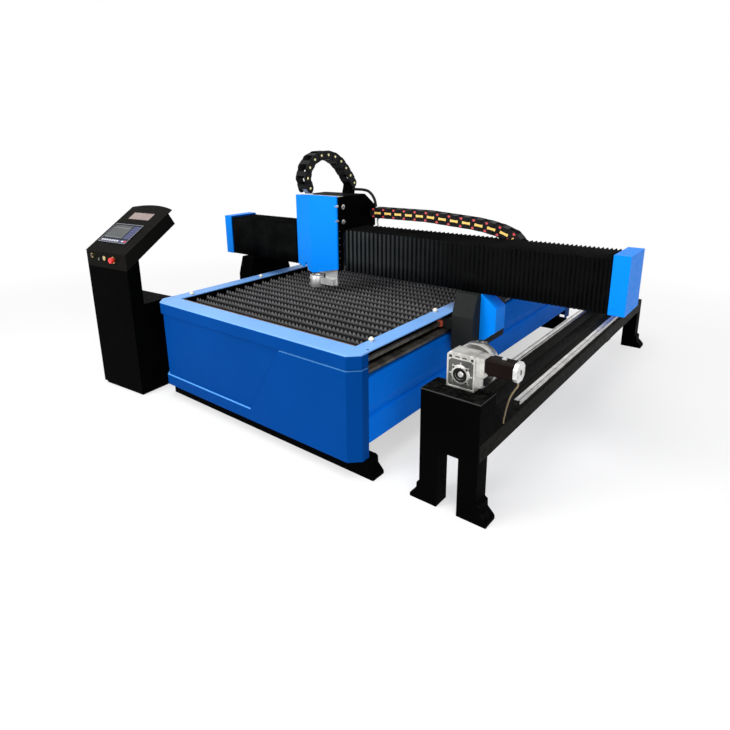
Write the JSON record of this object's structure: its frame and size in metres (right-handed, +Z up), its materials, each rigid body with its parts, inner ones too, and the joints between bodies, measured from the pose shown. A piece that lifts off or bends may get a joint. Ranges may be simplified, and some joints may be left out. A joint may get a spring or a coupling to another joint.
{
  "type": "cnc plasma table",
  "caption": "CNC plasma cutting table with a slatted bed, rail-driven gantry with a torch lifter, a rotary pipe axis with chuck beside it, and a free-standing control console.",
  "frame": {"origin": "middle of the front skid's underside on the floor, on the bed's centre line", "axes": "+Z up, +X to the operator's right across the bed, +Y from the front apron to the rear"},
  "size_m": [3.3896, 3.489, 1.7061],
  "materials": {
    "blue_paint": "satin",
    "pale_rim": "satin",
    "black_paint": "satin",
    "bright_steel": "brushed",
    "raw_steel": "matte",
    "cast_silver": "satin",
    "knob_cream": "satin",
    "chain_plastic": "matte",
    "bellows_cloth": "matte",
    "lead_rubber": "matte",
    "panel_grey": "brushed",
    "screen_glass": "gloss",
    "key_plastic": "satin",
    "brass_ring": "polished",
    "stop_red": "gloss",
    "button_black": "gloss",
    "key_steel": "polished"
  },
  "bodies": {
    "table": {"bed_frame": "black_paint", "base_skids": "black_paint", "front_apron": "blue_paint", "rear_apron": "blue_paint", "side_panels": "blue_paint", "top_rim": "pale_rim", "slat_supports": "raw_steel", "slats": "raw_steel", "slag_tray": "raw_steel", "y_guides": "bright_steel", "rim_knobs": "knob_cream", "rotary_stands": "black_paint", "rotary_beams": "black_paint", "rotary_rails": "bright_steel", "gearbox_housing": "cast_silver", "rotary_motor": "black_paint", "motor_caps": "cast_silver", "motor_cable": "lead_rubber", "console_cabinet": "black_paint", "console_head": "panel_grey", "panel_bezel": "panel_grey", "panel_screen": "screen_glass", "panel_keys": "key_plastic", "control_bezels": "brass_ring"},
    "gantry": {"gantry_beam": "blue_paint", "right_upright": "black_paint", "left_upright": "black_paint", "end_caps": "blue_paint", "x_guides": "bright_steel", "y_blocks": "bright_steel", "drive_cover": "blue_paint", "y_motor": "black_paint", "left_bellows": "bellows_cloth", "right_bellows": "bellows_cloth", "chain_tray": "black_paint", "x_chain": "chain_plastic"},
    "carriage": {"carriage_plate": "bright_steel", "carriage_housing": "black_paint", "carriage_cover": "blue_paint", "carriage_guides": "bright_steel", "carriage_motors": "black_paint", "chain_brackets": "black_paint", "z_chain": "chain_plastic", "torch_hose": "lead_rubber"},
    "torch": {"torch_slide": "cast_silver", "torch_clamp": "cast_silver"},
    "gantry_gear": {"y_pinion": "bright_steel"},
    "carriage_gear": {"x_pinion": "bright_steel"},
    "lift_screw": {"z_screw": "bright_steel"},
    "chuck": {"spindle": "bright_steel", "chuck_body": "bright_steel"},
    "first_jaw": {"jaw_a": "raw_steel"},
    "second_jaw": {"jaw_b": "raw_steel"},
    "third_jaw": {"jaw_c": "raw_steel"},
    "work_support": {"support_carriage": "blue_paint"},
    "left_roller": {"support_roller_left": "bright_steel"},
    "right_roller": {"support_roller_right": "bright_steel"},
    "start_button": {"push_button": "button_black"},
    "switch_key": {"key": "key_steel"},
    "emergency_stop": {"stop_button": "stop_red"}
  },
  "joints": [
    {"name": "gantry_travel", "type": "slide", "parent": "table", "child": "gantry", "axis": [0, 1, 0], "range_m": [-0.6, 1.8]},
    {"name": "carriage_travel", "type": "slide", "parent": "gantry", "child": "carriage", "axis": [1, 0, 0], "range_m": [-0.515, 0.95], "deforming": ["left_bellows", "right_bellows", "x_chain"]},
    {"name": "torch_lift", "type": "slide", "parent": "carriage", "child": "torch", "axis": [0, 0, 1], "range_m": [0, 0.08], "deforming": ["z_chain"]},
    {"name": "gantry_gear_spin", "type": "hinge", "parent": "gantry", "child": "gantry_gear", "pos_m": [0.868, 0.939, 0.6322], "axis": [1, 0, 0], "continuous": true},
    {"name": "carriage_gear_spin", "type": "hinge", "parent": "carriage", "child": "carriage_gear", "pos_m": [-0.19, 1.0892, 1.132], "axis": [0, 0, 1], "continuous": true},
    {"name": "lift_screw_spin", "type": "hinge", "parent": "carriage", "child": "lift_screw", "pos_m": [-0.19, 0.8675, 1.04], "axis": [0, 0, 1], "continuous": true},
    {"name": "chuck_spin", "type": "hinge", "parent": "table", "child": "chuck", "pos_m": [1.378, 0.24, 0.692], "axis": [0, 1, 0], "continuous": true},
    {"name": "first_jaw_slide", "type": "slide", "parent": "chuck", "child": "first_jaw", "axis": [0, 0, 1], "range_m": [-0.018, 0.01]},
    {"name": "second_jaw_slide", "type": "slide", "parent": "chuck", "child": "second_jaw", "axis": [0.866, 0, -0.5], "range_m": [-0.018, 0.01]},
    {"name": "third_jaw_slide", "type": "slide", "parent": "chuck", "child": "third_jaw", "axis": [-0.866, 0, -0.5], "range_m": [-0.018, 0.01]},
    {"name": "support_travel", "type": "slide", "parent": "table", "child": "work_support", "axis": [0, 1, 0], "range_m": [-1.9, 0.2]},
    {"name": "left_roller_spin", "type": "hinge", "parent": "work_support", "child": "left_roller", "pos_m": [1.333, 2.61, 0.608], "axis": [0, 1, 0], "continuous": true},
    {"name": "right_roller_spin", "type": "hinge", "parent": "work_support", "child": "right_roller", "pos_m": [1.423, 2.61, 0.608], "axis": [0, 1, 0], "continuous": true},
    {"name": "start_button_press", "type": "slide", "parent": "table", "child": "start_button", "axis": [-0.0958, 0.9954, 0], "range_m": [0, 0.0035], "stiffness_N_per_m": 900},
    {"name": "switch_key_turn", "type": "hinge", "parent": "table", "child": "switch_key", "pos_m": [-1.25093, -0.27405, 1.005], "axis": [-0.0958, 0.9954, 0], "range_deg": [0, 90]},
    {"name": "emergency_stop_press", "type": "slide", "parent": "table", "child": "emergency_stop", "axis": [-0.0958, 0.9954, 0], "range_m": [0, 0.006]}
  ],
  "couplings": [
    {"joint": "gantry_gear_spin", "follows": "gantry_travel", "rad_per_m": -37.037},
    {"joint": "carriage_gear_spin", "follows": "carriage_travel", "rad_per_m": -37.037},
    {"joint": "lift_screw_spin", "follows": "torch_lift", "rad_per_m": 628.32},
    {"joint": "second_jaw_slide", "follows": "first_jaw_slide", "ratio": 1},
    {"joint": "third_jaw_slide", "follows": "first_jaw_slide", "ratio": 1}
  ]
}
